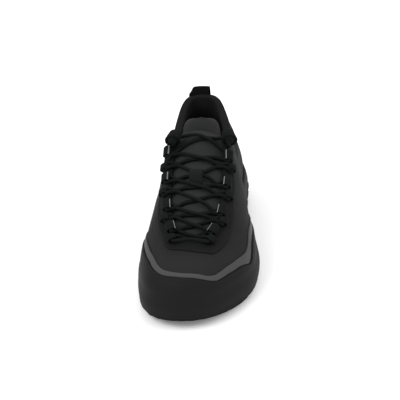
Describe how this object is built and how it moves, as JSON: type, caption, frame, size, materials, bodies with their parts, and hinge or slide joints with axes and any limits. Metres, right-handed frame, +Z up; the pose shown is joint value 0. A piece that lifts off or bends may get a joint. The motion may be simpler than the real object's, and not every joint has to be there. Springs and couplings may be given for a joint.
{
  "type": "hiking shoe",
  "caption": "Low hiking shoe for the left foot, black and dark grey, with a lugged rubber sole, rubber toe rand, padded collar, tongue and speed lacing",
  "frame": {"origin": "on the floor under the middle of the bounding box", "axes": "+Z up, toe toward -Y, heel toward +Y, outer side of the left foot toward +X"},
  "size_m": [0.1096, 0.2856, 0.1174],
  "materials": {
    "outsole_rubber": "matt black rubber",
    "midsole_foam": "matt moulded foam",
    "upper_textile": "dense woven textile",
    "insole_textile": "brushed lining over foam",
    "tongue_textile": "padded knitted textile",
    "rand_rubber": "smooth satin rubber",
    "band_film": "smooth matt film, lighter grey",
    "eyestay_film": "smooth matt film on textile",
    "loop_webbing": "black woven webbing",
    "lace_cord": "round braided lace, black with a green cast"
  },
  "bodies": {
    "root": {"outsole": "outsole_rubber", "midsole": "midsole_foam", "upper": "upper_textile", "insole": "insole_textile", "tongue": "tongue_textile", "rand": "rand_rubber", "toe_band": "band_film", "eyestay": "eyestay_film", "pull_loop": "loop_webbing", "tongue_keeper": "loop_webbing", "ear_loop_outer_0": "loop_webbing", "ear_loop_inner_0": "loop_webbing", "edge_loop_outer_1": "loop_webbing", "edge_loop_inner_1": "loop_webbing", "slot_loop_outer_2": "loop_webbing", "slot_loop_inner_2": "loop_webbing", "edge_loop_outer_3": "loop_webbing", "edge_loop_inner_3": "loop_webbing", "slot_loop_outer_4": "loop_webbing", "slot_loop_inner_4": "loop_webbing", "edge_loop_outer_5": "loop_webbing", "edge_loop_inner_5": "loop_webbing", "slot_loop_outer_6": "loop_webbing", "slot_loop_inner_6": "loop_webbing", "edge_loop_outer_7": "loop_webbing", "edge_loop_inner_7": "loop_webbing", "slot_loop_outer_8": "loop_webbing", "slot_loop_inner_8": "loop_webbing", "lace_crossing_1": "lace_cord", "lace_crossing_2": "lace_cord", "lace_crossing_3": "lace_cord", "lace_crossing_4": "lace_cord", "lace_crossing_5": "lace_cord", "lace_crossing_6": "lace_cord", "lace_crossing_7": "lace_cord", "lace_crossing_8": "lace_cord"}
  },
  "joints": []
}
